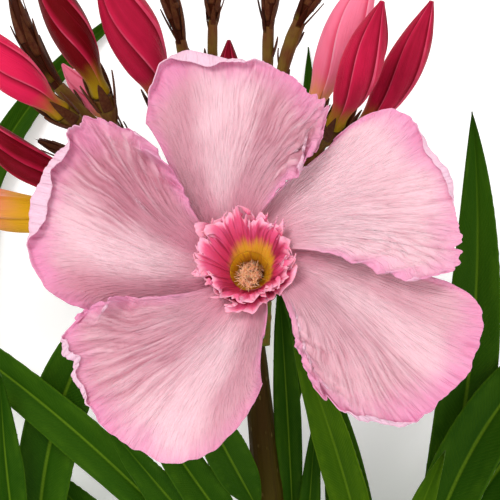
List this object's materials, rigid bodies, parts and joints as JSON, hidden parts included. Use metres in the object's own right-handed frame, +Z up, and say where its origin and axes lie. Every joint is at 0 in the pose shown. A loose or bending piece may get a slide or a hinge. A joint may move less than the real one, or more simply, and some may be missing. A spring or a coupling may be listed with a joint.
{
  "type": "cut flowering oleander shoot",
  "caption": "Cut oleander shoot lying on its back: one open pink bloom facing up, furled buds, narrow leaves and a woody stem with two side shoots.",
  "frame": {"origin": "under the middle of the shoot's box, at the level of the surface it lies on", "axes": "+Y along the shoot from the cut end to the buds, +Z up from the surface, the way the bloom faces, +X across to the right"},
  "size_m": [0.1234, 0.166, 0.0586],
  "materials": {
    "bark": "thin olive-brown bark with fine lengthwise ridges",
    "flower_stalk": "dull red-brown to olive",
    "green_stalk": "dull olive",
    "calyx": "dull maroon-brown sepals",
    "leaf": "dark green, leathery, satin, paler midrib",
    "young_leaf": "yellow-green, satin",
    "petal": "pale pink with deeper pink rim, velvety",
    "flower_tube": "pink outside, olive gold inside",
    "corona": "deep pink, toothed, translucent edge",
    "anther": "peach coloured fine hairs",
    "red_bud": "crimson, satin, paler petal edges",
    "pale_bud": "light pink, satin",
    "brown_bud": "dull maroon-brown scales"
  },
  "bodies": {
    "root": {"anther_tuft": "anther", "arm_left": "bark", "arm_right": "bark", "bloom_stalk": "green_stalk", "bud_brown_left": "brown_bud", "bud_brown_middle": "brown_bud", "bud_brown_right": "brown_bud", "bud_dark_left": "red_bud", "bud_far_right": "red_bud", "bud_low_orange": "pale_bud", "bud_low_red": "red_bud", "bud_low_small": "brown_bud", "bud_outer_left": "red_bud", "bud_pale_left": "pale_bud", "bud_pale_right": "pale_bud", "bud_red_tip": "red_bud", "bud_sharp_right": "red_bud", "bud_small_right": "brown_bud", "bud_stalk_top": "brown_bud", "bud_upright": "red_bud", "calyx": "calyx", "cluster_left": "flower_stalk", "cluster_middle": "flower_stalk", "cluster_right": "flower_stalk", "corona": "corona", "leaf_arc_left": "leaf", "leaf_arch_right": "leaf", "leaf_behind_left": "leaf", "leaf_behind_right": "leaf", "leaf_behind_stem": "leaf", "leaf_fan_high": "leaf", "leaf_fan_low": "leaf", "leaf_fan_middle": "leaf", "leaf_fork_left": "leaf", "leaf_fork_right": "leaf", "leaf_front": "young_leaf", "leaf_long_left": "leaf", "leaf_low_left": "leaf", "leaf_low_right": "leaf", "leaf_out_left": "leaf", "leaf_tall_right": "leaf", "leaf_under_buds": "leaf", "leaf_under_front": "leaf", "leaf_upright_left": "leaf", "leaf_young_left": "young_leaf", "leaf_young_right": "young_leaf", "petal_left": "petal", "petal_lower_left": "petal", "petal_lower_right": "petal", "petal_right": "petal", "petal_top": "petal", "stem": "bark", "tube": "flower_tube"}
  },
  "joints": []
}
